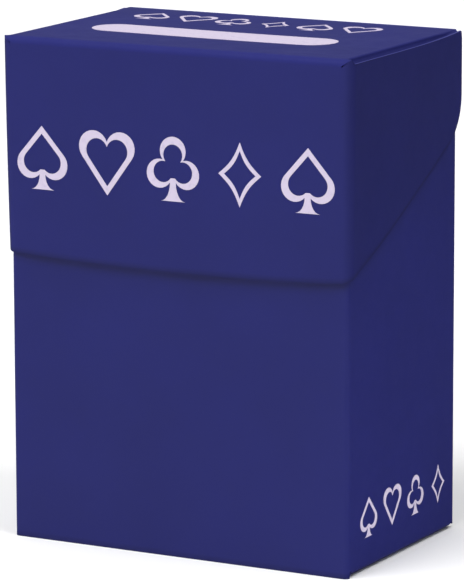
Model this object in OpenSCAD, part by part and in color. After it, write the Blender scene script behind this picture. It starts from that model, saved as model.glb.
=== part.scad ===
// Flip-top card deck box, folded and welded from polypropylene sheet.
// Frame: +Z up, the front faces -Y, the origin is under the middle of the closed box.

/* [Body] */
// Outside width of the body
body_w = 71; // [68:0.5:76]
// Outside depth of the body, front face to back face
body_d = 45; // [40:0.5:60]
// Height of the closed box
box_h = 96; // [94:0.5:100]
// Height of the body's front panel, which the lid covers
front_h = 80; // [76:0.5:84]
// Thickness of the sheet
sheet_t = 0.5; // [0.4:0.05:0.6]
// Outside radius of the body's upright folds
corner_r = 1; // [0.8:0.1:1.2]
// Outside radius of the folds round the bottom
edge_r = 0.8; // [0.7:0.05:0.9]
// Height of the lip turned down outside the front panel
lip_h = 12; // [8:0.5:12]
// Length over which each side panel's top slopes down to the front panel
side_slope_l = 20; // [10:1:30]

/* [Bottom] */
// Reach of each dust flap over the bottom panel
dust_flap_l = 28; // [18:1:30]
// Height of the flap that welds the bottom panel to the front panel
glue_flap_h = 10; // [6:0.5:12]
// Width of the flap that welds the left side to the back panel
seam_flap_w = 10; // [6:0.5:14]

/* [Lid] */
// Height of the lid's front at its corners
lid_h = 41; // [38:0.5:42]
// How far the middle of the lid's front edge hangs below its corners
edge_bow = 0.85; // [0.4:0.05:1.2]
// Clearance between lid and body
lid_gap = 0.1; // [0.1:0.05:0.2]
// Outside radius of the lid's upright folds
lid_corner_r = 2; // [1.6:0.1:2.2]
// Outside radius of the fold between the lid's top and front
lid_edge_r = 1.5; // [1:0.1:1.8]
// Rise of each side wing's slanted edge over its length
wing_rise = 22; // [18:0.5:24]
// How far the slanted edge bows out from a straight line
wing_bow = 0.55; // [0.2:0.05:0.8]
// Radius of each wing's free rear corner
wing_corner_r = 10; // [6:0.5:12]
// How far each wing's top edge stays below the lid's top
wing_drop = 0.95; // [0.8:0.05:1.1]
// How far that edge climbs again at its rear end
wing_lift = 0.75; // [0:0.05:0.75]
// Depth of the side tabs that hang from the top panel inside the wings
tab_h = 14; // [8:0.5:16]
// Outside radius of the folds between the top panel and the side tabs
tab_edge_r = 1.2; // [0.7:0.1:1.3]
// Height of the hem turned up inside the lid's front
hem_h = 12; // [8:0.5:12]

/* [Divider] */
// Width of the loose deck divider
divider_w = 66; // [62:0.5:66]
// Height of the loose deck divider
divider_h = 88; // [80:0.5:90]
// Place of the divider's middle, measured back from the middle of the box
divider_y = 8; // [-10:0.5:16]
// Radius of the divider's corners
divider_r = 4; // [2:0.5:8]

/* [Printing] */
// Thickness of the printed ink film
ink_t = 0.05; // [0.03:0.01:0.08]
// Height of each printed card pip
pip_h = 12; // [9:0.5:13]
// Number of card pips on the lid's front
pip_count = 5; // [3:2:5]
// Length of the plain label bar on the lid's top
label_l = 51; // [40:1:54]
// Width of the plain label bar
label_w = 9.6; // [7:0.2:12]

/* [Hidden] */
$fn = 64;
blue = [0.17, 0.17, 0.43];
deep_blue = [0.14, 0.14, 0.38];
pale_ink = [0.81, 0.76, 0.86];

// Body faces. The lid stands out at the front only, so the body sits a little to the back.
half_w = body_w / 2;
lid_step = lid_gap + 2 * sheet_t;
back_y = (body_d + lid_step) / 2;
front_y = back_y - body_d;
body_h = box_h - sheet_t;
side_h = box_h - 1.4;
// The dust flaps lie on the bottom panel, and the seam flap stands clear of them.
flap_z = sheet_t;
seam_z = 2 * sheet_t + 0.5;
panel_gap = 0.5;

// Lid faces
lid_half_w = half_w + lid_step;
lid_front_y = front_y - lid_step;
lid_z = box_h - lid_h;
tab_half_w = lid_half_w - sheet_t;
hinge_gap = 0.05;
lid_back_y = back_y - sheet_t - hinge_gap;
wing_back_y = back_y - 0.35;
wing_run = body_d - 1;
hem_top_z = lid_z + hem_h;

// Lip faces
lip_front_y = front_y - sheet_t;
lip_z = front_h - lip_h;
lip_half_w = half_w - 5.5;
hem_half_w = half_w - 8;

// Divider
divider_z = flap_z + sheet_t + 0.2;

// Quarter-round fold about the Z axis, len long, from angle turn to turn + 90 degrees.
module fold(r, len, turn) {
    rotate([0, 0, turn])
        rotate_extrude(angle = 90)
            translate([r - sheet_t, 0])
                square([sheet_t, len]);
}

// Turns a shape so that its own X, Y and Z run along the box's Y, Z and X.
module along_x() {
    rotate([90, 0, 90]) children();
}

// Quarter-round fold along X, centred on x = 0.
module fold_x(r, len, turn) {
    translate([-len / 2, 0, 0]) along_x() fold(r, len, turn);
}

// Quarter-round fold along Y, from y = 0 back to y = len.
module fold_y(r, len, turn) {
    translate([0, len, 0]) rotate([90, 0, 0]) fold(r, len, turn);
}

// Flat panel between two opposite corners.
module panel(low, high) {
    translate(low) cube(high - low);
}

// ---- Body ----

module back_panel() {
    color(blue) {
        panel([-half_w, back_y - sheet_t, edge_r], [half_w - corner_r, back_y, body_h]);
        translate([half_w - corner_r, back_y - corner_r, edge_r])
            fold(corner_r, side_h - edge_r, 0);
        translate([-sheet_t / 2, back_y - edge_r, edge_r])
            fold_x(edge_r, body_w - 2 * corner_r - sheet_t, 270);
    }
}

// Upright side panel on the +X side, from the front fold to the given rear end.
// Its top slopes up from the height of the front panel.
module side_panel(rear_y) {
    low_z = flap_z + edge_r;
    y0 = front_y + corner_r;
    translate([half_w - sheet_t, 0, 0])
        along_x() linear_extrude(sheet_t)
            polygon([[y0, low_z], [rear_y, low_z], [rear_y, side_h],
                     [y0 + side_slope_l, side_h], [y0, front_h]]);
}

module right_side_panel() {
    color(blue) side_panel(back_y - corner_r);
}

module left_side_panel() {
    color(blue) mirror([1, 0, 0]) side_panel(back_y - sheet_t - corner_r);
}

module front_panel() {
    color(blue) {
        panel([corner_r - half_w, front_y, 0], [half_w - corner_r, front_y + sheet_t, front_h]);
        translate([half_w - corner_r, front_y + corner_r, 0]) fold(corner_r, front_h, 270);
        translate([corner_r - half_w, front_y + corner_r, 0]) fold(corner_r, front_h, 180);
    }
}

// Lip turned outward and down from the front panel's top edge, a catch for the lid's hem.
module front_lip() {
    color(deep_blue) {
        panel([-lip_half_w, lip_front_y, lip_z], [lip_half_w, front_y, front_h]);
        translate([-lip_half_w, front_y, front_h])
            along_x() intersection() {
                cylinder(r = sheet_t, h = 2 * lip_half_w);
                translate([-sheet_t, 0, 0]) cube([2 * sheet_t, sheet_t, 2 * lip_half_w]);
            }
    }
}

module bottom_panel() {
    half_l = half_w - corner_r - sheet_t / 2;
    color(blue)
        panel([-half_l, front_y + sheet_t + edge_r, 0], [half_l, back_y - edge_r, sheet_t]);
}

// Flap that turns up inside the front panel from the bottom panel.
module bottom_glue_flap() {
    half_l = half_w - corner_r - sheet_t / 2;
    flap_y = front_y + sheet_t;
    color(deep_blue) {
        panel([-half_l, flap_y, edge_r], [half_l, flap_y + sheet_t, glue_flap_h]);
        translate([0, flap_y + edge_r, edge_r]) fold_x(edge_r, 2 * half_l, 180);
    }
}

// Dust flap on the +X side: a fold from the side panel, then a tapered tongue.
module dust_flap() {
    y0 = front_y + 2 * sheet_t + panel_gap;
    y1 = back_y - 2 * sheet_t - panel_gap;
    root_x = half_w - edge_r;
    tip_x = root_x - dust_flap_l;
    taper = 5;
    translate([root_x, y0, flap_z + edge_r]) fold_y(edge_r, y1 - y0, 270);
    translate([0, 0, flap_z])
        linear_extrude(sheet_t)
            polygon([[root_x, y0], [root_x, y1], [tip_x, y1 - taper], [tip_x, y0 + taper]]);
}

module bottom_right_flap() {
    color(deep_blue) dust_flap();
}

module bottom_left_flap() {
    color(deep_blue) mirror([1, 0, 0]) dust_flap();
}

// Flap that turns in from the left side and is welded inside the back panel.
module side_glue_flap() {
    fold_y0 = back_y - sheet_t - corner_r;
    fold_x0 = corner_r - half_w;
    color(deep_blue) {
        translate([fold_x0, fold_y0, seam_z]) fold(corner_r, side_h - seam_z, 90);
        panel([fold_x0, fold_y0 + corner_r - sheet_t, seam_z],
              [fold_x0 + seam_flap_w, fold_y0 + corner_r, side_h]);
    }
}

// Thinned strip at the top of the back panel that the lid turns on.
module lid_hinge_crease() {
    color(deep_blue)
        panel([-half_w, back_y - sheet_t, body_h], [half_w, back_y, box_h]);
}

// ---- Lid ----

module lid_top_panel() {
    half_l = tab_half_w - tab_edge_r;
    fold_y0 = lid_front_y + lid_edge_r;
    color(blue) {
        panel([-half_l, fold_y0, body_h], [half_l, lid_back_y, box_h]);
        translate([0, fold_y0, box_h - lid_edge_r])
            fold_x(lid_edge_r, 2 * (lid_half_w - lid_corner_r), 90);
    }
}

// Height of a wing's slanted edge at the distance y behind the lid's front face.
function slant_z(y) = lid_z + wing_rise * y / wing_run - 4 * wing_bow * y * (wing_run - y) / pow(wing_run, 2);

// Height of a wing's top edge, u being 0 to 1 from front to rear.
function wing_top_z(u) = box_h - wing_drop + wing_lift * pow(u, 5);

// Height of the lid's front edge, u being -1 to 1 from corner to corner.
function edge_z(u) = lid_z - edge_bow * (1 - u * u);

// Side view of the lid, drawn with Y across and Z up.
module lid_side_view() {
    steps = 12;
    centre_y = wing_back_y - wing_corner_r;
    slope = wing_rise / wing_run + 4 * wing_bow / wing_run;
    angle = atan(slope);
    tangent_y = centre_y + wing_corner_r * sin(angle);
    tangent_z = slant_z(tangent_y - lid_front_y);
    centre_z = tangent_z + wing_corner_r * cos(angle);
    slant = [for (i = [0:steps])
        let (y = (tangent_y - lid_front_y) * i / steps) [lid_front_y + y, slant_z(y)]];
    round = [for (i = [1:steps])
        let (a = angle - 90 + (90 - angle) * i / steps)
        [centre_y + wing_corner_r * cos(a), centre_z + wing_corner_r * sin(a)]];
    top = [for (i = [0:steps])
        let (u = 1 - i / steps) [lid_front_y + u * (wing_back_y - lid_front_y), wing_top_z(u)]];
    polygon(concat(slant, round, top));
}

// Upright fold at the lid's front right corner, cut off along the wing's slanted edge.
module lid_corner() {
    intersection() {
        translate([lid_half_w - lid_corner_r, lid_front_y + lid_corner_r, lid_z])
            fold(lid_corner_r, box_h - lid_z, 270);
        translate([lid_half_w - lid_corner_r, 0, 0])
            along_x() linear_extrude(lid_corner_r) lid_side_view();
    }
}

// Front view of a band of the lid's front, from its bowed lower edge up to top_z.
module front_band(half_l, top_z) {
    steps = 16;
    full_l = lid_half_w - lid_corner_r;
    edge = [for (i = [-steps:2:steps]) let (x = half_l * i / steps) [x, edge_z(x / full_l)]];
    rotate([90, 0, 0])
        linear_extrude(sheet_t)
            polygon(concat(edge, [[half_l, top_z], [-half_l, top_z]]));
}

module lid_front_panel() {
    half_l = lid_half_w - lid_corner_r;
    color(blue) {
        translate([0, lid_front_y + sheet_t, 0]) front_band(half_l, box_h - lid_edge_r);
        lid_corner();
        mirror([1, 0, 0]) lid_corner();
    }
}

// Hem turned up inside the lid's front edge; it snaps under the body's lip.
module lid_lock_hem() {
    color(deep_blue)
        translate([0, lid_front_y + 2 * sheet_t, 0]) front_band(hem_half_w, hem_top_z);
}

module side_wing() {
    intersection() {
        translate([tab_half_w, 0, 0]) along_x() linear_extrude(sheet_t) lid_side_view();
        panel([tab_half_w, lid_front_y + lid_corner_r, 0], [lid_half_w, back_y, box_h]);
    }
}

module lid_right_wing() {
    color(blue) side_wing();
}

module lid_left_wing() {
    color(blue) mirror([1, 0, 0]) side_wing();
}

// Tab that turns down from the top panel and is welded inside the wing.
module side_tab() {
    y0 = lid_front_y + lid_corner_r + panel_gap;
    y1 = wing_back_y - sheet_t;
    taper = 3;
    low_z = box_h - tab_h;
    fold_z = box_h - tab_edge_r;
    translate([tab_half_w - tab_edge_r, y0, fold_z]) fold_y(tab_edge_r, y1 - y0, 0);
    translate([tab_half_w - sheet_t, 0, 0])
        along_x() linear_extrude(sheet_t)
            polygon([[y0, fold_z], [y0 + taper, low_z], [y1 - taper, low_z], [y1, fold_z]]);
}

module lid_right_tab() {
    color(deep_blue) side_tab();
}

module lid_left_tab() {
    color(deep_blue) mirror([1, 0, 0]) side_tab();
}

// ---- Inside ----

module deck_divider() {
    color(deep_blue)
        translate([0, divider_y + sheet_t / 2, divider_z])
            rotate([90, 0, 0])
                linear_extrude(sheet_t)
                    rounded_bar(divider_w, divider_h, divider_r);
}

// Rectangle with round corners, middle of its lower edge at the origin.
module rounded_bar(w, h, r) {
    translate([-w / 2, r]) square([w, h - 2 * r]);
    translate([r - w / 2, 0]) square([w - 2 * r, h]);
    for (x = [r - w / 2, w / 2 - r])
        for (y = [r, h - r])
            translate([x, y]) circle(r);
}

// ---- Printing ----

// Lays a drawing on the lid's front face, with its own X and Y along the box's X and Z.
module ink_on_front() {
    translate([0, lid_front_y, 0]) rotate([90, 0, 0]) linear_extrude(ink_t) children();
}

module heart(h) {
    lobe = h * 0.27;
    translate([0, h * 0.42]) rotate(45) square(2 * lobe, center = true);
    for (side = [-1, 1])
        translate([side * lobe / sqrt(2), h * 0.42 + lobe / sqrt(2)]) circle(lobe);
}

module diamond(h) {
    polygon([[0, 0], [h * 0.38, h / 2], [0, h], [-h * 0.38, h / 2]]);
}

module spade_leaf(h) {
    translate([0, h]) mirror([0, 1]) heart(h * 0.95);
}

module club_leaves(h) {
    leaf = h * 0.23;
    translate([0, h - leaf]) circle(leaf);
    translate([0, h * 0.5]) circle(leaf * 0.6);
    for (side = [-1, 1])
        translate([side * leaf * 1.1, h * 0.42]) circle(leaf);
}

module stem(h) {
    polygon([[-h * 0.2, 0], [h * 0.2, 0], [h * 0.05, h * 0.4], [-h * 0.05, h * 0.4]]);
}

// Card suit without its stem.
module leaves(kind, h) {
    if (kind == 0) spade_leaf(h);
    if (kind == 1) heart(h);
    if (kind == 2) club_leaves(h);
    if (kind == 3) diamond(h);
}

// Card suit drawn in outline, standing on the origin.
module pip(kind, h) {
    hole = 0.72;
    middle_y = h * [0.53, 0.5, 0.56, 0.5][kind];
    difference() {
        union() {
            leaves(kind, h);
            if (kind % 2 == 0) stem(h);
        }
        translate([0, middle_y * (1 - hole)]) scale(hole) leaves(kind, h);
    }
}

module front_print() {
    pitch = 14;
    low_z = lid_z + 12.5;
    color(pale_ink)
        ink_on_front()
            for (i = [0:pip_count - 1])
                translate([(i - (pip_count - 1) / 2) * pitch, low_z]) pip(i % 4, pip_h);
}

module label_bar() {
    color(pale_ink)
        translate([-1.8, -4 - label_w / 2, box_h])
            linear_extrude(ink_t) rounded_bar(label_l, label_w, label_w / 2 - 0.01);
}

// Row of small suits from the origin towards +X.
module suit_row(count, pitch, h) {
    for (i = [0:count - 1])
        translate([i * pitch, 0]) pip(i % 4, h);
}

module top_mark() {
    color(pale_ink)
        translate([-24.5, 9.5, box_h]) linear_extrude(ink_t) suit_row(6, 8.8, 8);
}

module side_mark() {
    color(pale_ink)
        translate([half_w, front_y + 8.5, 6.3])
            along_x() linear_extrude(ink_t) suit_row(4, 9.7, 7.5);
}

back_panel();
right_side_panel();
left_side_panel();
front_panel();
front_lip();
bottom_panel();
bottom_glue_flap();
bottom_right_flap();
bottom_left_flap();
side_glue_flap();
lid_hinge_crease();
lid_top_panel();
lid_front_panel();
lid_right_wing();
lid_left_wing();
lid_right_tab();
lid_left_tab();
lid_lock_hem();
deck_divider();
front_print();
label_bar();
top_mark();
side_mark();
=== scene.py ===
import math

import bmesh
import bpy
import numpy as np
from mathutils import Matrix, Vector
from mathutils.geometry import tessellate_polygon


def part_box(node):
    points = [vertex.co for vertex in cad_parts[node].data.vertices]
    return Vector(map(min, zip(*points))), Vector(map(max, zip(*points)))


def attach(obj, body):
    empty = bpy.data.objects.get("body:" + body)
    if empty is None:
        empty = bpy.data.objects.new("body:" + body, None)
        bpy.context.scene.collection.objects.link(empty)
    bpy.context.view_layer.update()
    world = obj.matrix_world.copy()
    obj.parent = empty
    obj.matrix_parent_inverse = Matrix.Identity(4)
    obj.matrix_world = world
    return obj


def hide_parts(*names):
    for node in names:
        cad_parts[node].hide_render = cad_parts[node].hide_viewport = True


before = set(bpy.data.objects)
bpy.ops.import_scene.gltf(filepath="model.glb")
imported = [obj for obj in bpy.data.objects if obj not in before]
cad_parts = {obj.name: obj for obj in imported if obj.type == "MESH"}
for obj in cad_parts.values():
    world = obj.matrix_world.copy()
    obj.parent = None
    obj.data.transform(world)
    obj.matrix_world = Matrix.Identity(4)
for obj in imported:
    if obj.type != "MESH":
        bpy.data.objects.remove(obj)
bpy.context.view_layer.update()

MM = 0.001

# ---------------------------------------------------------------- sizes, from the frame

LOW, HIGH = 0, 1
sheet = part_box("lid_right_wing")[HIGH].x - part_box("lid_right_wing")[LOW].x

# Body
half_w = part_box("front_panel")[HIGH].x
front_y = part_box("front_panel")[LOW].y
back_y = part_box("back_panel")[HIGH].y
front_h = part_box("front_panel")[HIGH].z
side_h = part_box("right_side_panel")[HIGH].z
side_low_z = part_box("right_side_panel")[LOW].z
side_front_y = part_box("right_side_panel")[LOW].y
corner_r = side_front_y - front_y
edge_r = side_low_z - sheet
seam_low_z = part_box("side_glue_flap")[LOW].z
seam_inner_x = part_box("side_glue_flap")[HIGH].x
SIDE_SLOPE = 20 * MM     # length of the slope at the front of a side panel's top

# Lid
lid_half_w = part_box("lid_front_panel")[HIGH].x
lid_front_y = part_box("lid_front_panel")[LOW].y
lid_top_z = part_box("lid_top_panel")[HIGH].z
wing_front_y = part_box("lid_right_wing")[LOW].y
wing_back_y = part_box("lid_right_wing")[HIGH].y
wing_top_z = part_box("lid_right_wing")[HIGH].z
lid_corner_r = wing_front_y - lid_front_y
corner_x = lid_half_w - lid_corner_r
tab_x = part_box("lid_right_tab")[HIGH].x
tab_edge_r = tab_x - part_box("lid_right_tab")[LOW].x
LID_EDGE_R = 1.5 * MM    # fold between the lid's top and front
EDGE_BOW = 0.85 * MM     # how far the front's lower edge bows down
WING_RISE = 22 * MM      # of the slanted edge, over its run
WING_RUN = 44 * MM
WING_BOW = 0.55 * MM     # how far it bows down
WING_CORNER_R = 10 * MM
WING_LIFT = 0.75 * MM    # how far a wing's top edge climbs at its rear end
lid_low_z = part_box("lid_front_panel")[LOW].z + EDGE_BOW

# How far the lid's sheet departs from flat, and where
LID_HUG = 0.45 * MM      # the lid's lower front corners press in towards the body
HUG_POWER = 1.5          # the hug grows with the drop from the lid's top
CORNER_POWER = 8         # and stays close to the front corners
PINCH_RUN = 14 * MM      # length over which the wings part from the body again
TOP_SAG = 0.18 * MM
RIPPLE = 0.02 * MM
WING_LEAN = 0.15 * MM    # how far a wing's top edge leans in
LEAN_DROP = 1.8 * MM     # height over which it leans
LEAN_START = 4 * MM      # length over which the lean begins, behind the lid's upright fold

# How far the body's sheet departs from flat, and where
BODY_BELLY = 0.22 * MM   # front wall, outward
SIDE_BELLY = 0.15 * MM   # side walls, outward
BACK_HOLLOW = 0.12 * MM  # back wall, inward
BELLY_TOP = 50 * MM      # the bellies stay below the lid
BELLY_REACH = 22.5 * MM  # and the side walls' belly this close to the middle, front to rear
HOLLOW_TOP = 92 * MM

# Edges, ink and the groove beside the lid's top
BURR = 0.07 * MM         # rounding of a die-cut edge
HEM_BEND = 0.24 * MM     # rounding of the lid's front edge, where the hem turns up
SHARP_ANGLE = 50         # degrees; steeper edges are shaded as edges
INK = 0.05 * MM          # thickness
TAB_START = 1.2 * MM     # where a tab's fold starts, behind the lid's front face
GROOVE = 1.25 * MM       # depth of the groove between a tab's fold and its wing
GROOVE_END = 5.5 * MM    # length over which the groove runs out at its rear end
GROOVE_FILL = 0.88       # share of the groove's depth that is gone there
SLIT = 0.05 * MM         # gap left round the front fold's ends and behind a tab
HAIR = 0.03 * MM         # gap between a wing and the front fold, and between the hem and the edge below

# Groove pressed beside the hinge line, outside
SCORE_DEPTH = 0.05 * MM
SCORE_AT = 0.6 * MM
SCORE_WIDTH = 0.25 * MM

# ---------------------------------------------------------------- shape of the real sheet


def ease(t):
    """Smooth step from 0 to 1."""
    t = np.clip(t, 0, 1)
    return t * t * (3 - 2 * t)


def near(distance, reach, fade):
    """1 close to a face, easing to 0 over the last stretch of reach."""
    return ease((reach - distance) / fade)


def bulge(t):
    """Arch over -1 to 1, flat 0 outside it."""
    return np.clip(1 - t**2, 0, 1)


def ripple_at(x, z):
    """Slow waves in the lid's sheet. The numbers set their lengths and keep them from lining up."""
    return RIPPLE * (1 + np.sin(95 * x + 60 * z + 0.7) * np.sin(130 * z - 40 * x + 1.1))


def lid_shape(p):
    """Turns the ideal lid into the real one: it hugs the body lower down, and its top sags a little."""
    x, y, z = p[:, 0], p[:, 1], p[:, 2]
    drop = np.clip((lid_top_z - z) / (lid_top_z - lid_low_z), 0, 1)
    hug = LID_HUG * drop**HUG_POWER
    near_corner = (np.abs(x) / lid_half_w) ** CORNER_POWER
    near_front = np.clip(y / lid_front_y, 0, 1)
    pinch = 1 - ease((y - wing_front_y) / PINCH_RUN)
    on_front = near(1 - y / lid_front_y, 0.1, 0.06)
    on_top = near(lid_top_z - z, 3 * MM, 2 * MM)
    dome = bulge(x / lid_half_w) * bulge(y / back_y)
    ripple = ripple_at(x, z)
    on_wing = near(tab_x - np.abs(x), 0.2 * MM, 0.2 * MM) * ease((y - wing_front_y) / LEAN_START)
    lean = on_wing * WING_LEAN * np.clip((z - wing_top_z) / LEAN_DROP + 1, 0, 1) ** 2
    out = p.copy()
    out[:, 0] = x * (1 - pinch * hug / lid_half_w) - np.sign(x) * lean
    out[:, 1] = y + hug * near_corner * near_front + on_front * ripple * (1 - near_corner)
    out[:, 2] = z - on_top * dome * (TOP_SAG + ripple)
    return out


def tab_shape(p):
    """The lid's shape, with the groove beside a tab's fold running out at its rear end."""
    out = p.copy()
    depth = np.clip(lid_top_z - p[:, 2], 0, GROOVE)
    out[:, 2] += GROOVE_FILL * depth * ease((p[:, 1] - wing_back_y + GROOVE_END) / GROOVE_END)
    return lid_shape(out)


def body_shape(p):
    """Turns the ideal body into the real one.

    The front and sides belly out below the lid, and the back goes in.
    """
    x, y, z = p[:, 0], p[:, 1], p[:, 2]
    below_lid = np.sin(np.pi * np.clip(z / BELLY_TOP, 0, 1)) ** 2
    whole = np.sin(np.pi * np.clip(z / HOLLOW_TOP, 0, 1))
    across, along = bulge(x / half_w), bulge(y / BELLY_REACH)
    on_front = near(y - front_y, 4 * MM, 2 * MM)
    on_back = near(back_y - y, 4 * MM, 2 * MM)
    on_side = near(half_w - np.abs(x), 3 * MM, 1.5 * MM)
    out = p.copy()
    out[:, 0] = x + np.sign(x) * SIDE_BELLY * along * below_lid * on_side
    out[:, 1] = y - BODY_BELLY * across * below_lid * on_front - BACK_HOLLOW * across * whole * on_back
    return out


def as_is(p):
    """Shape of a sheet that stays flat."""
    return p


# ---------------------------------------------------------------- paths and sheets

STEP = 4 * MM            # spacing of a sheet's rows and columns
FIRST_STOP = 0.3 * MM    # the two extra places close to each end
SECOND_STOP = 1.2 * MM
BESIDE_EDGE_LIGHT = 0.8         # how far the row beside a first border takes the cut edges' painted highlight and shade
BEND_MARK = 0.03         # how far a fold counts as crease; the hinge counts fully


def arc(cx, cy, r, start, end, steps=8):
    """Points on an arc with their outward directions, as rows of x, y, nx, ny. Angles in degrees."""
    angles = np.radians(np.linspace(start, end, steps + 1))
    nx, ny = np.cos(angles), np.sin(angles)
    return np.column_stack([cx + r * nx, cy + r * ny, nx, ny])


def stops(length):
    """Places from 0 to length, with two extra close to each end. A short run has four even ones."""
    if length < 6 * SECOND_STOP:
        return np.linspace(0, length, 4)
    count = max(2, round((length - 2 * SECOND_STOP) / STEP))
    middle = np.linspace(SECOND_STOP, length - SECOND_STOP, count + 1)
    return np.concatenate([[0, FIRST_STOP], middle, [length - FIRST_STOP, length]])


def straight(start, end, normal, at=None):
    """Points along a line with one outward direction, in the same rows as arc()."""
    start, end = np.array(start, float), np.array(end, float)
    length = np.linalg.norm(end - start)
    places = stops(length) if at is None else np.asarray(at)
    points = start + np.outer(places / length, end - start)
    return np.column_stack([points, np.tile(normal, (len(points), 1))])


def joined(*parts):
    """One path from several, without the doubled points where they meet."""
    rows = [parts[0]]
    for part in parts[1:]:
        same = np.allclose(part[0, :2], rows[-1][-1, :2], atol=1e-7)
        rows.append(part[1:] if same else part)
    return np.concatenate(rows)


def fractions(length):
    """The same places as stops(), as shares of the length."""
    return stops(length) / length


def make_piece(name, bm, material, body, nodes):
    """Turns a bmesh into a named piece that rides on a CAD body and stands for CAD nodes.

    On the lid, an attribute is 1 on the outer faces of its sides, where the material paints shade.
    """
    bmesh.ops.recalc_face_normals(bm, faces=bm.faces[:])
    mesh = bpy.data.meshes.new(name)
    bm.to_mesh(mesh)
    bm.free()
    mesh.shade_smooth()
    mesh.set_sharp_from_angle(angle=math.radians(SHARP_ANGLE))
    mesh.materials.append(material)
    if body == "lid":
        outside = [(abs(v.co.x) - corner_x) / (lid_half_w - corner_x) for v in mesh.vertices]
        mesh.attributes.new("lid_side_shade", "FLOAT", "POINT").data.foreach_set("value", ease(outside))
    piece = bpy.data.objects.new(name, mesh)
    bpy.context.scene.collection.objects.link(piece)
    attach(piece, body)
    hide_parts(*nodes)


def sheet_mesh(outer, normal, thickness, shape, cut="", fold=None, mitre=None, burr=BURR):
    """Closed sheet from a grid of outer points and their outward directions.

    cut names the borders that are die-cut edges, any of first, last (rows) and left, right (columns).
    The row beside a first border is marked too, a little less; the marks carry the painted highlight
    and painted shade of cut edges. fold marks, row by column, where the sheet is creased. mitre is
    where the last row's inner points go. burr is the edges' rounding.
    """
    rows, cols = outer.shape[:2]
    inner = outer - normal * thickness
    if mitre is not None:
        inner[-1, :, 1:] = mitre
    if fold is None:
        fold = np.zeros((rows, cols))
    points = shape(np.concatenate([outer.reshape(-1, 3), inner.reshape(-1, 3)]))
    bm = bmesh.new()
    fold_layer = bm.verts.layers.float.new("fold")
    edge_light_and_shade_layer = bm.verts.layers.float.new("edge_light_and_shade")
    verts = [bm.verts.new(p) for p in points]
    out = np.array(verts[: rows * cols], object).reshape(rows, cols)
    inn = np.array(verts[rows * cols:], object).reshape(rows, cols)
    for i in range(rows):
        for j in range(cols):
            out[i, j][fold_layer] = inn[i, j][fold_layer] = fold[i, j]
    for i in range(rows - 1):
        for j in range(cols - 1):
            bm.faces.new([out[i, j], out[i, j + 1], out[i + 1, j + 1], out[i + 1, j]])
            bm.faces.new([inn[i, j], inn[i + 1, j], inn[i + 1, j + 1], inn[i, j + 1]])
    borders = {"first": (out[0], inn[0]), "last": (out[-1], inn[-1]),
               "left": (out[:, 0], inn[:, 0]), "right": (out[:, -1], inn[:, -1])}
    for a, b in borders.values():
        for k in range(len(a) - 1):
            bm.faces.new([a[k], a[k + 1], b[k + 1], b[k]])
    sharp, ends = set(), {}
    for side in cut.split():
        for line in borders[side]:
            for k in range(len(line) - 1):
                sharp.add(bm.edges.get([line[k], line[k + 1]]))
            for v in line:
                v[edge_light_and_shade_layer] = 1.0
        if side == "first":
            for v in out[1]:
                v[edge_light_and_shade_layer] = BESIDE_EDGE_LIGHT
        for k in (0, -1):
            pair = (borders[side][0][k], borders[side][1][k])
            ends[pair] = ends.get(pair, 0) + 1
    sharp.update(bm.edges.get(pair) for pair, count in ends.items() if count == 2)
    if sharp:
        bmesh.ops.bevel(bm, geom=list(sharp), offset=burr, segments=2, profile=0.5,
                        affect="EDGES", clamp_overlap=True)
    return bm


def bend_mark(path):
    """Faint paling of the sheet where a path bends, so where it faces neither way squarely."""
    square = np.max(np.abs(path[:, 2:]), axis=1) > 0.999
    return np.where(square, 0.0, BEND_MARK)


def grid(*columns):
    """Points, row by column, from x, y and z that each have that shape or fill it."""
    return np.stack(np.broadcast_arrays(*columns), -1)


def upright(path, low, high, shape, cut, burr=BURR):
    """Upright wall: a path of x, y, nx, ny rows seen from above, from low to high at each place."""
    low, high = np.broadcast_to(low, len(path)), np.broadcast_to(high, len(path))
    rows = fractions(np.max(high - low))[:, None]
    z = low + rows * (high - low)
    outer = grid(path[:, 0], path[:, 1], z)
    normal = np.zeros_like(outer)
    normal[..., :2] = path[:, 2:]
    fold = np.broadcast_to(bend_mark(path), z.shape)
    return sheet_mesh(outer, normal, sheet, shape, cut, fold, burr=burr)


def across_x(path, half, shape, cut, thickness=sheet, mitre=None, fold=None):
    """Sheet swept along X: a path of y, z, ny, nz rows, reaching half each way at each place."""
    half = np.broadcast_to(half, len(path))
    spread = fractions(2 * np.max(half)) * 2 - 1
    x = half[:, None] * spread
    outer = grid(x, path[:, :1], path[:, 1:2])
    normal = np.zeros_like(outer)
    normal[..., 1:] = path[:, None, 2:]
    if fold is None:
        fold = bend_mark(path)
    fold = np.broadcast_to(fold[:, None], x.shape)
    return sheet_mesh(outer, normal, thickness, shape, cut, fold, mitre)


def along_y(path, front, rear, shape, cut, side=1):
    """Sheet swept along Y: a path of x, z, nx, nz rows, from front to rear at each place.

    side is 1, or -1 to mirror it.
    """
    front, rear = np.broadcast_to(front, len(path)), np.broadcast_to(rear, len(path))
    y = front[:, None] + fractions(np.max(rear - front)) * (rear - front)[:, None]
    outer = grid(side * path[:, :1], y, path[:, 1:2])
    normal = np.zeros_like(outer)
    normal[..., 0], normal[..., 2] = side * path[:, None, 2], path[:, None, 3]
    fold = np.broadcast_to(bend_mark(path)[:, None], y.shape)
    return sheet_mesh(outer, normal, sheet, shape, cut, fold)


def mirrored(path):
    """The same wall path on the -X side."""
    return path * np.array([-1, 1, -1, 1])


# ---------------------------------------------------------------- materials

BLACK = (0.0, 0.0, 0.0, 1.0)
NOISE_SPAN = (0.3, 0.7)  # the part of a noise's range that nearly all of it stays in

# Sizes of the noises, in features per metre
SHEET_CLOUD, SHEET_RIPPLE, SHEET_SCUFF, SHEET_MOTTLE, SHEET_GRAIN = 45, 70, 150, 420, 5200
INK_PATCHES, INK_COVER, INK_GRAIN = 160, 900, 7000
FLOOR_CLOUD = 3

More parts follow.
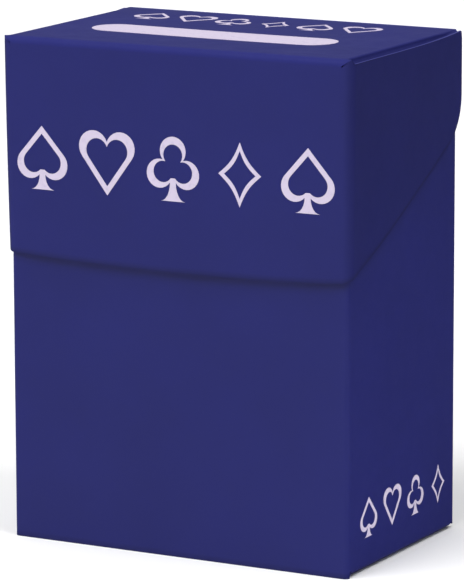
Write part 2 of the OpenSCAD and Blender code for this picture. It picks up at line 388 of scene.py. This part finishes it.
# How strongly things show in the sheet's colour
DARKER, LIGHTER = 0.96, 1.04
MOTTLE_SHOWS = 0.18
CREASE_SHOWS = (0.3, 0.8)
# strength of the painted highlight and painted shade on cut edges
EDGE_LIGHT_SHOWS = 0.85
EDGE_SHADE = 0.6          # painted shade on a cut edge that doesn't face up, as a share of the sheet's own colour
LID_SIDE_SHADE_SHOWS = 0.15        # painted shade on the lid's sides

PLASTIC_IOR, INK_IOR = 1.49, 1.47


def new_material(name):
    material = bpy.data.materials.new(name)
    material.use_nodes = True
    return material, material.node_tree, material.node_tree.nodes["Principled BSDF"]


def object_coords(tree):
    return tree.nodes.new("ShaderNodeTexCoord").outputs["Object"]


def feed(tree, socket, value):
    """Sets an input to a number or a colour, or links it to another node's output."""
    if isinstance(value, (float, tuple)):
        socket.default_value = value
    else:
        tree.links.new(value, socket)


def noise(tree, coords, scale, detail, roughness=0.55):
    """Noise texture, its scale in features per metre."""
    texture = tree.nodes.new("ShaderNodeTexNoise")
    texture.inputs["Scale"].default_value = scale
    texture.inputs["Detail"].default_value = detail
    texture.inputs["Roughness"].default_value = roughness
    tree.links.new(coords, texture.inputs["Vector"])
    return texture.outputs["Fac"]


def remap(tree, value, from_low, from_high, to_low, to_high):
    """Moves a value from one range to another, held at the ends."""
    node = tree.nodes.new("ShaderNodeMapRange")
    ends = {"From Min": from_low, "From Max": from_high, "To Min": to_low, "To Max": to_high}
    for key, number in ends.items():
        node.inputs[key].default_value = number
    tree.links.new(value, node.inputs["Value"])
    return node.outputs["Result"]


def mix(tree, factor, a, b):
    """Mixes two colours; each is a socket or a tuple."""
    node = tree.nodes.new("ShaderNodeMix")
    node.data_type = "RGBA"
    for key, value in (("Factor", factor), ("A", a), ("B", b)):
        feed(tree, node.inputs[key], value)
    return node.outputs["Result"]


def math_node(tree, operation, a, b):
    """One operation on two values; each is a socket or a float."""
    node = tree.nodes.new("ShaderNodeMath")
    node.operation = operation
    for socket, value in zip(node.inputs, (a, b)):
        feed(tree, socket, value)
    return node.outputs["Value"]


def bump(tree, height, distance, strength, normal=None):
    """Surface relief from a height, on top of another relief if one is given."""
    node = tree.nodes.new("ShaderNodeBump")
    node.inputs["Distance"].default_value = distance
    node.inputs["Strength"].default_value = strength
    tree.links.new(height, node.inputs["Height"])
    if normal is not None:
        tree.links.new(normal, node.inputs["Normal"])
    return node.outputs["Normal"]


def attribute(tree, name, strength):
    """A mesh attribute's value, times strength."""
    node = tree.nodes.new("ShaderNodeAttribute")
    node.attribute_name = name
    return math_node(tree, "MULTIPLY", node.outputs["Fac"], strength)


def facing_up(tree):
    """0 where the surface looks level or down, rising to 1 where it looks up."""
    geometry = tree.nodes.new("ShaderNodeNewGeometry")
    split = tree.nodes.new("ShaderNodeSeparateXYZ")
    tree.links.new(geometry.outputs["Normal"], split.inputs["Vector"])
    return remap(tree, split.outputs["Z"], 0.1, 0.5, 0.0, 1.0)


def shade(colour, factor):
    return tuple(c * factor for c in colour[:3]) + (1.0,)


def sheet_colour(tree, coords, colour, crease_colour, edge_highlight_colour):
    """Faint clouds and mottle, paler creases, and painted light: a highlight on cut edges facing up,
    shade on those facing down, and shade on the lid's sides.
    """
    cloud = noise(tree, coords, SHEET_CLOUD, 2)
    mottle = noise(tree, coords, SHEET_MOTTLE, 3)
    darker, lighter = shade(colour, DARKER), shade(colour, LIGHTER)
    tone = mix(tree, remap(tree, cloud, 0.35, 0.65, 0.0, 1.0), darker, lighter)
    tone = mix(tree, remap(tree, mottle, *NOISE_SPAN, 0.0, MOTTLE_SHOWS), tone, lighter)
    crease = attribute(tree, "fold", remap(tree, mottle, *NOISE_SPAN, *CREASE_SHOWS))
    tone = mix(tree, crease, tone, crease_colour)
    # Cut edges get a painted highlight where they face up and painted shade where they face down
    edge_light_and_shade = mix(tree, facing_up(tree), shade(colour, EDGE_SHADE), edge_highlight_colour)
    tone = mix(tree, attribute(tree, "edge_light_and_shade", EDGE_LIGHT_SHOWS), tone, edge_light_and_shade)
    # Painted shade darkens the lid's sides
    return mix(tree, attribute(tree, "lid_side_shade", LID_SIDE_SHADE_SHOWS), tone, BLACK)


def sheet_material(name, colour, crease_colour, edge_highlight_colour, roughness=0.45):
    """Dyed polypropylene sheet: satin, with fine grain, faint flow and scuffs."""
    material, tree, shader = new_material(name)
    coords = object_coords(tree)
    tone = sheet_colour(tree, coords, colour, crease_colour, edge_highlight_colour)
    tree.links.new(tone, shader.inputs["Base Color"])
    grain = noise(tree, coords, SHEET_GRAIN, 2)
    scuff = noise(tree, coords, SHEET_SCUFF, 4, 0.7)
    rough = remap(tree, scuff, 0.3, 0.75, roughness - 0.03, roughness + 0.08)
    rough = math_node(tree, "ADD", rough, remap(tree, grain, *NOISE_SPAN, -0.02, 0.02))
    tree.links.new(rough, shader.inputs["Roughness"])
    shader.inputs["IOR"].default_value = PLASTIC_IOR
    ripples = bump(tree, noise(tree, coords, SHEET_RIPPLE, 1), 0.06 * MM, 0.5)
    tree.links.new(bump(tree, grain, 0.012 * MM, 0.6, ripples), shader.inputs["Normal"])
    return material


def ink_material(name, colour, thin_colour):
    """Screen-printed ink: slightly uneven cover, faint mesh texture and a satin surface."""
    material, tree, shader = new_material(name)
    coords = object_coords(tree)
    cover = noise(tree, coords, INK_COVER, 4, 0.65)
    patches = noise(tree, coords, INK_PATCHES, 2)
    grain = noise(tree, coords, INK_GRAIN, 2)
    thin = math_node(tree, "MULTIPLY", remap(tree, cover, 0.52, 0.74, 0.0, 0.5),
                     remap(tree, patches, 0.4, 0.65, 0.3, 1.0))
    tree.links.new(mix(tree, thin, colour, thin_colour), shader.inputs["Base Color"])
    tree.links.new(remap(tree, cover, *NOISE_SPAN, 0.42, 0.55), shader.inputs["Roughness"])
    shader.inputs["IOR"].default_value = INK_IOR
    tree.links.new(bump(tree, grain, 0.01 * MM, 0.5), shader.inputs["Normal"])
    return material


def floor_material():
    """Plain pale matte surface with the faintest unevenness."""
    material, tree, shader = new_material("studio_floor")
    cloud = noise(tree, object_coords(tree), FLOOR_CLOUD, 2)
    tone = mix(tree, cloud, (0.95, 0.95, 0.95, 1), (0.97, 0.97, 0.97, 1))
    tree.links.new(tone, shader.inputs["Base Color"])
    shader.inputs["Roughness"].default_value = 0.75
    return material


# Each sheet's own colour, then that of its creases, then the painted highlight of its cut edges
blue = sheet_material("blue_sheet", (0.008, 0.0105, 0.135, 1), (0.04, 0.045, 0.24, 1),
                      (0.04, 0.045, 0.23, 1))
divider_blue = sheet_material("divider_sheet", (0.008, 0.0095, 0.12, 1), (0.035, 0.04, 0.22, 1),
                              (0.035, 0.04, 0.21, 1), 0.5)
ink = ink_material("pale_ink", (0.60, 0.53, 0.68, 1), (0.30, 0.27, 0.46, 1))

# ---------------------------------------------------------------- body

wall_y0, wall_y1 = side_front_y, back_y - corner_r      # ends of the flat side walls
panel_x = half_w - corner_r                             # half width of the flat front and back walls
GLUE_TAPER = 2 * MM      # how much a weld flap narrows to its edge, each side
DUST_TAPER = 5 * MM      # and a dust flap
LIP_SHEET = 0.94 * sheet  # a little thin, so that the lip clears the front panel


def body_piece(name, bm, *nodes):
    make_piece(name, bm, blue, "body", nodes)


def front_panel():
    path = joined(arc(-panel_x, wall_y0, corner_r, 180, 270),
                  straight((-panel_x, front_y), (panel_x, front_y), (0, -1)),
                  arc(panel_x, wall_y0, corner_r, 270, 360))
    bm = upright(path, 0.0, front_h, body_shape, "first last")
    body_piece("front_panel_sheet", bm, "front_panel")


def side_panel(side, rear_y, name, node):
    """Side panel whose top slopes up from the front panel's height."""
    flat_run = stops(rear_y - wall_y0 - SIDE_SLOPE) + SIDE_SLOPE
    places = np.concatenate([stops(SIDE_SLOPE), flat_run[1:]])
    path = straight((half_w, wall_y0), (half_w, rear_y), (1, 0), places)
    high = front_h + (side_h - front_h) * np.clip(places / SIDE_SLOPE, 0, 1)
    path = path if side > 0 else mirrored(path)
    body_piece(name, upright(path, side_low_z, high, body_shape, "last"), node)


def back_panel():
    path = joined(arc(panel_x, wall_y1, corner_r, 0, 90),
                  straight((panel_x, back_y), (-half_w, back_y), (0, 1)))
    body_piece("back_panel_sheet", upright(path, edge_r, side_h, body_shape, "right"), "back_panel")


def side_glue_flap():
    """Flap of the left side, welded inside the back panel."""
    centre = wall_y1 - sheet
    path = joined(arc(-panel_x, centre, corner_r, 180, 90),
                  straight((-panel_x, centre + corner_r), (seam_inner_x, centre + corner_r), (0, 1)))
    bm = upright(path, seam_low_z, side_h, body_shape, "first last right")
    body_piece("side_glue_flap_sheet", bm, "side_glue_flap")


def bottom_panel():
    low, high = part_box("bottom_panel")
    path = joined(straight((low.y, 0), (high.y, 0), (0, -1)), arc(high.y, edge_r, edge_r, -90, 0))
    body_piece("bottom_panel_sheet", across_x(path, high.x, body_shape, "left right"), "bottom_panel")


def bottom_glue_flap():
    low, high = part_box("bottom_glue_flap")
    path = joined(arc(low.y + edge_r, edge_r, edge_r, -90, -180),
                  straight((low.y, edge_r), (low.y, high.z), (-1, 0)))
    half = high.x - GLUE_TAPER * ease((path[:, 1] - edge_r) / (high.z - edge_r))
    body_piece("bottom_glue_flap_sheet", across_x(path, half, body_shape, "last left right"),
               "bottom_glue_flap")


def dust_flap(side, name, node):
    """Flap turned in from a side panel's lower edge, over the bottom."""
    low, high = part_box("bottom_right_flap")
    root_x, tip_x = half_w - edge_r, low.x
    path = joined(arc(root_x, side_low_z, edge_r, 0, -90),
                  straight((root_x, sheet), (tip_x, sheet), (0, -1)))
    taper = DUST_TAPER * np.clip((root_x - path[:, 0]) / (root_x - tip_x), 0, 1)
    bm = along_y(path, low.y + taper, high.y - taper, body_shape, "last left right", side)
    body_piece(name, bm, node)


def front_lip():
    """Lip folded over the front panel's top edge and down its outside."""
    low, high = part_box("front_lip")
    path = joined(straight((low.y, low.z), (low.y, front_h), (-1, 0)),
                  arc(front_y, front_h, sheet, 180, 0, 12))
    bm = across_x(path, high.x, body_shape, "first left right", LIP_SHEET)
    body_piece("front_lip_sheet", bm, "front_lip")


def score(away):
    """Depth of the groove pressed beside the hinge line, at a distance from it."""
    return SCORE_DEPTH * np.exp(-((away - SCORE_AT) / SCORE_WIDTH) ** 2)


def hinge_crease():
    """Crease band at the top of the back panel, scored inside so that it ends in a thin web."""
    steps = np.array([0, 0.3, 0.5, 0.7, 0.9, 1.15, 1.4])
    z = steps / steps[-1] * (lid_top_z - side_h) + side_h
    path = np.column_stack([back_y - score(lid_top_z - z), z, np.ones_like(z), np.zeros_like(z)])
    fold = ease((z - side_h) / (lid_top_z - side_h) * 1.6)
    mitre = (back_y - sheet, lid_top_z - sheet)
    bm = across_x(path, panel_x, body_shape, "left right", sheet, mitre, fold)
    body_piece("lid_hinge_crease_web", bm, "lid_hinge_crease")


# ---------------------------------------------------------------- lid

PALE_RUN = 1.4 * MM      # length over which the top pales towards the hinge
WING_LIFT_POWER = 5      # a wing's top edge climbs late
HOOK_START = 0.65 * MM   # where its front end drops from the lid's top, behind the front face
HOOK_RUN = 0.9 * MM
TAB_BEND_R = 0.5 * MM
TAB_BACK_OFF = 1.3 * MM  # how far a tab's front edge steps back below its fold
TAB_REAR_OFF = 0.85 * MM  # and its rear edge forward
TAB_TAPER = 3 * MM       # how much a tab narrows to its lower edge, front and rear


def lid_piece(name, bm, *nodes):
    make_piece(name, bm, blue, "lid", nodes)


def edge_z(x):
    """Height of the bowed lower edge of the lid's front."""
    return lid_low_z - EDGE_BOW * (1 - (x / corner_x) ** 2)


def slant_z(y):
    """Height of a wing's slanted edge."""
    run = y - lid_front_y
    return lid_low_z + WING_RISE * run / WING_RUN - 4 * WING_BOW * run * (WING_RUN - run) / WING_RUN**2


def wing_edge_z(y):
    """Height of a wing's top edge: high at the lid's corner, then low, then climbing to the rear."""
    along = (y - lid_front_y) / (wing_back_y - lid_front_y)
    edge = wing_top_z - WING_LIFT * (1 - along**WING_LIFT_POWER)
    return edge + (lid_top_z - edge) * (1 - ease((y - lid_front_y - HOOK_START) / HOOK_RUN))


def front_fold_z(y):
    """Height of the lid's surface where the top folds down into the front."""
    into_fold = np.clip(lid_front_y + LID_EDGE_R - y, 0, LID_EDGE_R)
    return lid_top_z - LID_EDGE_R + np.sqrt(LID_EDGE_R**2 - into_fold**2)


def lid_front():
    path = straight((-corner_x, lid_front_y), (corner_x, lid_front_y), (0, -1))
    bm = upright(path, edge_z(path[:, 0]), lid_top_z - LID_EDGE_R, lid_shape, "first", HEM_BEND)
    lid_piece("lid_front_sheet", bm, "lid_front_panel")


def lid_wing(side, name, node):
    """Wing with the lid's upright fold, its slanted edge and its round rear corner."""
    centre_y = wing_back_y - WING_CORNER_R
    angle = math.atan((WING_RISE + 4 * WING_BOW) / WING_RUN)
    tangent_y = centre_y + WING_CORNER_R * math.sin(angle)
    centre_z = slant_z(tangent_y) + WING_CORNER_R * math.cos(angle)
    turn = np.radians(np.linspace(math.degrees(angle) - 90, 0, 11)[1:])
    round_y = centre_y + WING_CORNER_R * np.cos(turn)
    straight_y = stops(tangent_y - wing_front_y) + wing_front_y
    places = np.concatenate([straight_y, round_y]) - wing_front_y
    path = joined(arc(corner_x, wing_front_y, lid_corner_r, 270, 360),
                  straight((lid_half_w, wing_front_y), (lid_half_w, wing_back_y), (1, 0), places))
    low = slant_z(path[:, 1])
    low[-len(turn):] = centre_z + WING_CORNER_R * np.sin(turn)
    high = np.minimum(wing_edge_z(path[:, 1]), front_fold_z(path[:, 1]) - HAIR)
    path = path if side > 0 else mirrored(path)
    lid_piece(name, upright(path, low, high, lid_shape, "first last right"), node)


def lid_top():
    """Top panel with its front fold; its rear end is scored inside, down to the hinge's web.

    The fold reaches out over the lid's upright corners, and the flat part to the tabs' folds.
    """
    fold_y = lid_front_y + LID_EDGE_R
    flat = straight((fold_y, lid_top_z), (back_y - 2 * MM, lid_top_z), (0, 1))
    near_hinge = np.array([1.6, 1.2, 0.9, 0.7, 0.5, 0.25, 0.0]) * MM
    rear = np.column_stack([back_y - near_hinge, lid_top_z - score(near_hinge),
                            np.zeros_like(near_hinge), np.ones_like(near_hinge)])
    path = joined(arc(fold_y, lid_top_z - LID_EDGE_R, LID_EDGE_R, 180, 90), flat, rear)
    behind = path[:, 0] - lid_front_y
    cap_r = lid_corner_r - SLIT
    cap_x = corner_x + np.sqrt(np.clip(cap_r**2 - (lid_corner_r - behind) ** 2, 0, None))
    half = np.where(behind < TAB_START - SLIT, cap_x, tab_x - tab_edge_r)
    fold = bend_mark(path) + ease(1 - (back_y - path[:, 0]) / PALE_RUN)
    mitre = (back_y - sheet, lid_top_z - sheet)
    lid_piece("lid_top_sheet", across_x(path, half, lid_shape, "", sheet, mitre, fold), "lid_top_panel")


def lid_tab(side, name, node):
    """Tab that folds down beside its wing, slants out to meet it and hangs flat against it."""
    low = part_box("lid_right_tab")[LOW]
    root_x, meet_z = tab_x - tab_edge_r, lid_top_z - GROOVE
    bend_x, bend_z = root_x + TAB_BEND_R, lid_top_z - TAB_BEND_R
    slant = np.array([tab_x - bend_x, bend_z - meet_z])
    out = np.array([slant[1], slant[0]]) / np.linalg.norm(slant)
    path = joined(arc(root_x, bend_z, TAB_BEND_R, 90, 0, 5),
                  straight((bend_x, bend_z), (tab_x, meet_z), out),
                  straight((tab_x, meet_z), (tab_x, low.z), (1, 0)))
    drop = np.clip((lid_top_z - path[:, 1]) / (lid_top_z - low.z), 0, 1)
    front = lid_front_y + TAB_START + TAB_BACK_OFF * ease(drop * 8) + TAB_TAPER * drop
    rear = back_y - SLIT - TAB_REAR_OFF * ease(drop * 12) - TAB_TAPER * drop
    lid_piece(name, along_y(path, front, rear, tab_shape, "last left right", side), node)


def lid_hem():
    """Hem turned up inside the lid's front."""
    low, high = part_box("lid_lock_hem")
    path = straight((low.x, low.y), (high.x, low.y), (0, -1))
    low_z = edge_z(path[:, 0]) + HAIR
    bm = upright(path, low_z, high.z, lid_shape, "first last left right", HEM_BEND)
    lid_piece("lid_lock_hem_sheet", bm, "lid_lock_hem")


# ---------------------------------------------------------------- divider

DIVIDER_CORNER_R = 4 * MM


def rounded_bar(width, height, r, step=STEP):
    """Columns of a bar with round corners: x, with the lowest and highest y at each."""
    angles = np.radians(np.linspace(90, 3, 9))
    end_x = width / 2 - r + r * np.cos(angles)
    end_low = r - r * np.sin(angles)
    middle = np.linspace(r - width / 2, width / 2 - r, max(2, round((width - 2 * r) / step)) + 1)[1:-1]
    x = np.concatenate([-end_x[::-1], middle, end_x])
    low = np.concatenate([end_low[::-1], np.zeros(len(middle)), end_low])
    return x, low, height - low


def divider():
    low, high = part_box("deck_divider")
    x, bottom, top = rounded_bar(high.x - low.x, high.z - low.z, DIVIDER_CORNER_R)
    path = np.column_stack([x, np.full(len(x), low.y), np.zeros(len(x)), -np.ones(len(x))])
    bm = upright(path, low.z + bottom, low.z + top, as_is, "first last left right")
    make_piece("deck_divider_sheet", bm, divider_blue, "divider", ["deck_divider"])


# ---------------------------------------------------------------- printing

# For a suit of height 1
STEM = 0.05              # half width of its stem
STEM_FOOT = 0.21         # half width of the stem's foot
SUIT_HOLE = 0.74         # how much of it the open middle takes

# Spacing of the rows of suits, and where the first one stands
FRONT_PITCH, TOP_PITCH, SIDE_PITCH = 14 * MM, 8.8 * MM, 9.7 * MM
TOP_START_X = -24.5 * MM
SIDE_START = 8.5 * MM    # behind the front panel
BAR_STEP = 3 * MM


def stem_side(top_y):
    """Concave side of a suit's stem, from the leaf at top_y out to its foot."""
    t = np.radians(np.linspace(0, 90, 7))[1:]
    return np.column_stack([STEM + (STEM_FOOT - STEM) * (1 - np.cos(t)), top_y * (1 - np.sin(t))])


def lobe(cx, cy, r, start, end, steps=14):
    return arc(cx, cy, r, start, end, steps)[:, :2]


def heart_half():
    """Right half of a heart of height 1, from its tip to its notch."""
    cx, cy, r = 0.24, 0.745, 0.255
    away = math.hypot(cx, cy)
    touch = math.degrees(math.atan2(cy, cx) - math.asin(r / away)) - 90
    notch = math.degrees(math.atan2(math.sqrt(r * r - cx * cx), -cx))
    return np.concatenate([[[0, 0]], lobe(cx, cy, r, touch, notch)])


def spade_half():
    """Right half of a spade's leaf, from where its stem starts to its tip, for a suit of height 1."""
    cx, cy, r = 0.22, 0.4, 0.235
    away = math.hypot(cx, 1 - cy)
    touch = 90 - math.degrees(math.atan2(1 - cy, cx) - math.asin(r / away))
    meet = -math.degrees(math.acos((STEM - cx) / r))
    return np.concatenate([lobe(cx, cy, r, meet, touch), [[0, 1]]])


def club_half():
    """Right half of a club's leaves, from where the stem starts to the top, for a suit of height 1."""
    r = 0.225
    side_c, top_c = np.array([0.235, 0.42]), np.array([0.0, 0.775])
    gap = top_c - side_c
    half_gap = np.linalg.norm(gap) / 2
    toward = gap / (2 * half_gap)
    cross = (side_c + top_c) / 2 + math.sqrt(r * r - half_gap**2) * np.array([toward[1], -toward[0]])
    meet = -math.degrees(math.acos((STEM - side_c[0]) / r))
    leave = math.degrees(math.atan2(*(cross - side_c)[::-1]))
    enter = math.degrees(math.atan2(*(cross - top_c)[::-1]))
    return np.concatenate([lobe(*side_c, r, meet, leave, 18), lobe(*top_c, r, enter, 90)])


def diamond_half():
    """Right half of a diamond of height 1, with sides a little hollow."""
    t = np.linspace(0, 1, 9)
    hollow = 0.05 * np.sin(np.pi * t)
    lower = np.column_stack([0.37 * t - hollow * 0.8, 0.5 * t + hollow * 0.6])
    return np.concatenate([lower, (lower * [1, -1] + [0, 1])[-2::-1]])


# Each suit's leaf, whether it has a stem, and the height of its open middle's centre
SUITS = (
    (spade_half, True, 0.53),
    (heart_half, False, 0.54),
    (club_half, True, 0.54),
    (diamond_half, False, 0.5),
)


def closed(half):
    """Whole loop from its right half."""
    other = half[::-1] * [-1, 1]
    return np.concatenate([half, other[np.abs(other[:, 0]) > 1e-6]])


def suit_loops(kind, height):
    """Outline of a suit standing on the origin, and the open middle that leaves it as a line."""
    leaf_half, has_stem, middle = SUITS[kind % len(SUITS)]
    half = leaf_half()
    hole = (closed(half) - [0, middle]) * SUIT_HOLE + [0, middle]
    if has_stem:
        half = np.concatenate([[[0, 0]], stem_side(half[0, 1])[::-1], half])
    return closed(half) * height, hole * height


def ink_outline(bm, loops, place):
    """Printed shape between an outline and its open middle, laid on a surface by place()."""
    top = [[bm.verts.new(p) for p in place(loop, INK)] for loop in loops]
    base = [[bm.verts.new(p) for p in place(loop, 0)] for loop in loops]
    flat = [[Vector((x, y, 0)) for x, y in loop] for loop in loops]
    for layer in (top, base):
        verts = layer[0] + layer[1]
        for corners in tessellate_polygon(flat):
            bm.faces.new([verts[i] for i in corners])
    for upper, lower in zip(top, base):
        for k in range(len(upper)):
            bm.faces.new([upper[k - 1], upper[k], lower[k], lower[k - 1]])


def on_lid_front(loop, lift):
    points = np.column_stack([loop[:, 0], np.full(len(loop), lid_front_y - lift), loop[:, 1]])
    return lid_shape(points)


def on_lid_top(loop, lift):
    points = np.column_stack([loop, np.full(len(loop), lid_top_z)])
    return lid_shape(points) + [0, 0, lift]


def on_right_side(loop, lift):
    points = np.column_stack([np.full(len(loop), half_w), loop])
    return body_shape(points) + [lift, 0, 0]


def ink_piece(name, bm, body, node):
    make_piece(name, bm, ink, body, [node])


def suit_row(name, node, count, pitch, start, height, place, body):
    """Row of suits in outline, the first one standing on start."""
    bm = bmesh.new()
    for i in range(count):
        shift = np.array([start[0] + i * pitch, start[1]])
        ink_outline(bm, [loop + shift for loop in suit_loops(i, height)], place)
    ink_piece(name, bm, body, node)


def printing():
    """Rows of suits in place of the lettering, and the pale bar."""
    low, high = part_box("front_print")
    suit_row("front_print_ink", "front_print", 5, FRONT_PITCH, (-2 * FRONT_PITCH, low.z),
             high.z - low.z, on_lid_front, "lid")
    low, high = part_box("top_mark")
    suit_row("top_mark_ink", "top_mark", 6, TOP_PITCH, (TOP_START_X, low.y),
             high.y - low.y, on_lid_top, "lid")
    low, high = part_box("side_mark")
    suit_row("side_mark_ink", "side_mark", 4, SIDE_PITCH, (front_y + SIDE_START, low.z),
             high.z - low.z, on_right_side, "body")
    label_bar()


def label_bar():
    low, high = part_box("label_bar")
    width, height = high.x - low.x, high.y - low.y
    x, bottom, top = rounded_bar(width, height, height / 2, BAR_STEP)
    rows = np.linspace(0, 1, 7)[:, None]
    y = low.y + bottom + rows * (top - bottom)
    outer = grid(x + (low.x + high.x) / 2, y, lid_top_z + INK)
    normal = np.zeros_like(outer)
    normal[..., 2] = 1
    ink_piece("label_bar_ink", sheet_mesh(outer, normal, INK, lid_shape), "lid", "label_bar")


# ---------------------------------------------------------------- build it

front_panel()
side_panel(1, wall_y1, "right_side_sheet", "right_side_panel")
side_panel(-1, wall_y1 - sheet, "left_side_sheet", "left_side_panel")
back_panel()
side_glue_flap()
bottom_panel()
bottom_glue_flap()
dust_flap(1, "bottom_right_flap_sheet", "bottom_right_flap")
dust_flap(-1, "bottom_left_flap_sheet", "bottom_left_flap")
front_lip()
hinge_crease()
lid_front()
lid_wing(1, "lid_right_wing_sheet", "lid_right_wing")
lid_wing(-1, "lid_left_wing_sheet", "lid_left_wing")
lid_top()
lid_tab(1, "lid_right_tab_sheet", "lid_right_tab")
lid_tab(-1, "lid_left_tab_sheet", "lid_left_tab")
lid_hem()
divider()
printing()

# ---------------------------------------------------------------- floor, light and camera


FLOOR_HALF = 6.0
BOX_MIDDLE = (0, 0, 0.05)
LENS = 269.3


def floor():
    """Large plain floor."""
    mesh = bpy.data.meshes.new("studio_floor")
    corners = [(x * FLOOR_HALF, y * FLOOR_HALF, 0) for x, y in ((-1, -1), (1, -1), (1, 1), (-1, 1))]
    mesh.from_pydata(corners, [], [(0, 1, 2, 3)])
    mesh.materials.append(floor_material())
    plane = bpy.data.objects.new("studio_floor", mesh)
    plane.visible_glossy = False
    bpy.context.scene.collection.objects.link(plane)


def soft_light(name, place, aim, size, power, spread=180):
    """Rectangular lamp, in metres, watts and degrees, that the camera and reflections don't see."""
    light = bpy.data.lights.new(name, "AREA")
    light.spread = math.radians(spread)
    light.shape = "RECTANGLE"
    light.size, light.size_y = size
    light.energy = power
    lamp = bpy.data.objects.new(name, light)
    lamp.location = place
    lamp.visible_camera = False
    lamp.visible_glossy = False
    lamp.rotation_euler = (Vector(aim) - Vector(place)).to_track_quat("-Z", "Y").to_euler()
    bpy.context.scene.collection.objects.link(lamp)


def world_light(low, high):
    """Soft surrounding light, brightest overhead and to the front left."""
    world = bpy.data.worlds.new("studio")
    world.use_nodes = True
    tree = world.node_tree
    toward = tree.nodes.new("ShaderNodeVectorMath")
    toward.operation = "DOT_PRODUCT"
    toward.inputs[1].default_value = (-0.35, -0.45, 0.82)
    tree.links.new(tree.nodes.new("ShaderNodeTexCoord").outputs["Generated"], toward.inputs[0])
    background = tree.nodes["Background"]
    background.inputs["Color"].default_value = (1, 1, 1, 1)
    strength = remap(tree, toward.outputs["Value"], -0.25, 0.9, low, high)
    tree.links.new(strength, background.inputs["Strength"])
    bpy.context.scene.world = world


def camera():
    """Long lens at the photograph's angle."""
    azimuth, elevation, roll = math.radians(28.53), math.radians(11.12), math.radians(-0.16)
    distance, aside, lift = 0.82503, -0.00049, -0.0015
    back = Vector((math.sin(azimuth) * math.cos(elevation), -math.cos(azimuth) * math.cos(elevation),
                   math.sin(elevation)))
    level = (-back).cross(Vector((0, 0, 1))).normalized()
    rise = level.cross(-back)
    right = level * math.cos(roll) + rise * math.sin(roll)
    up = rise * math.cos(roll) - level * math.sin(roll)
    middle = Vector((0, (front_y + back_y) / 2, lid_top_z / 2))
    data = bpy.data.cameras.new("camera")
    data.lens = LENS
    data.clip_start = 0.05
    body = bpy.data.objects.new("camera", data)
    turn = Matrix((right, up, back)).transposed().to_4x4()
    body.matrix_world = Matrix.Translation(middle + back * distance + right * aside + up * lift) @ turn
    bpy.context.scene.collection.objects.link(body)
    bpy.context.scene.camera = body


floor()
soft_light("key", (-0.35, -0.85, 1.4), BOX_MIDDLE, size=(1.2, 0.9), power=20.5)
soft_light("backdrop", (-0.6, 2.0, 1.3), (-0.6, 1.8, 0), size=(2.4, 1.2), power=22.0, spread=120)
soft_light("fill_right", (0.55, -0.13, 1.27), BOX_MIDDLE, size=(0.45, 0.45), power=6.5)
soft_light("low_right", (0.12, -0.01, 0.012), (0, -0.01, 0.012), size=(0.1, 0.02), power=0.026)
world_light(low=0.1, high=0.52)
camera()
bpy.context.scene.view_settings.view_transform = "Standard"
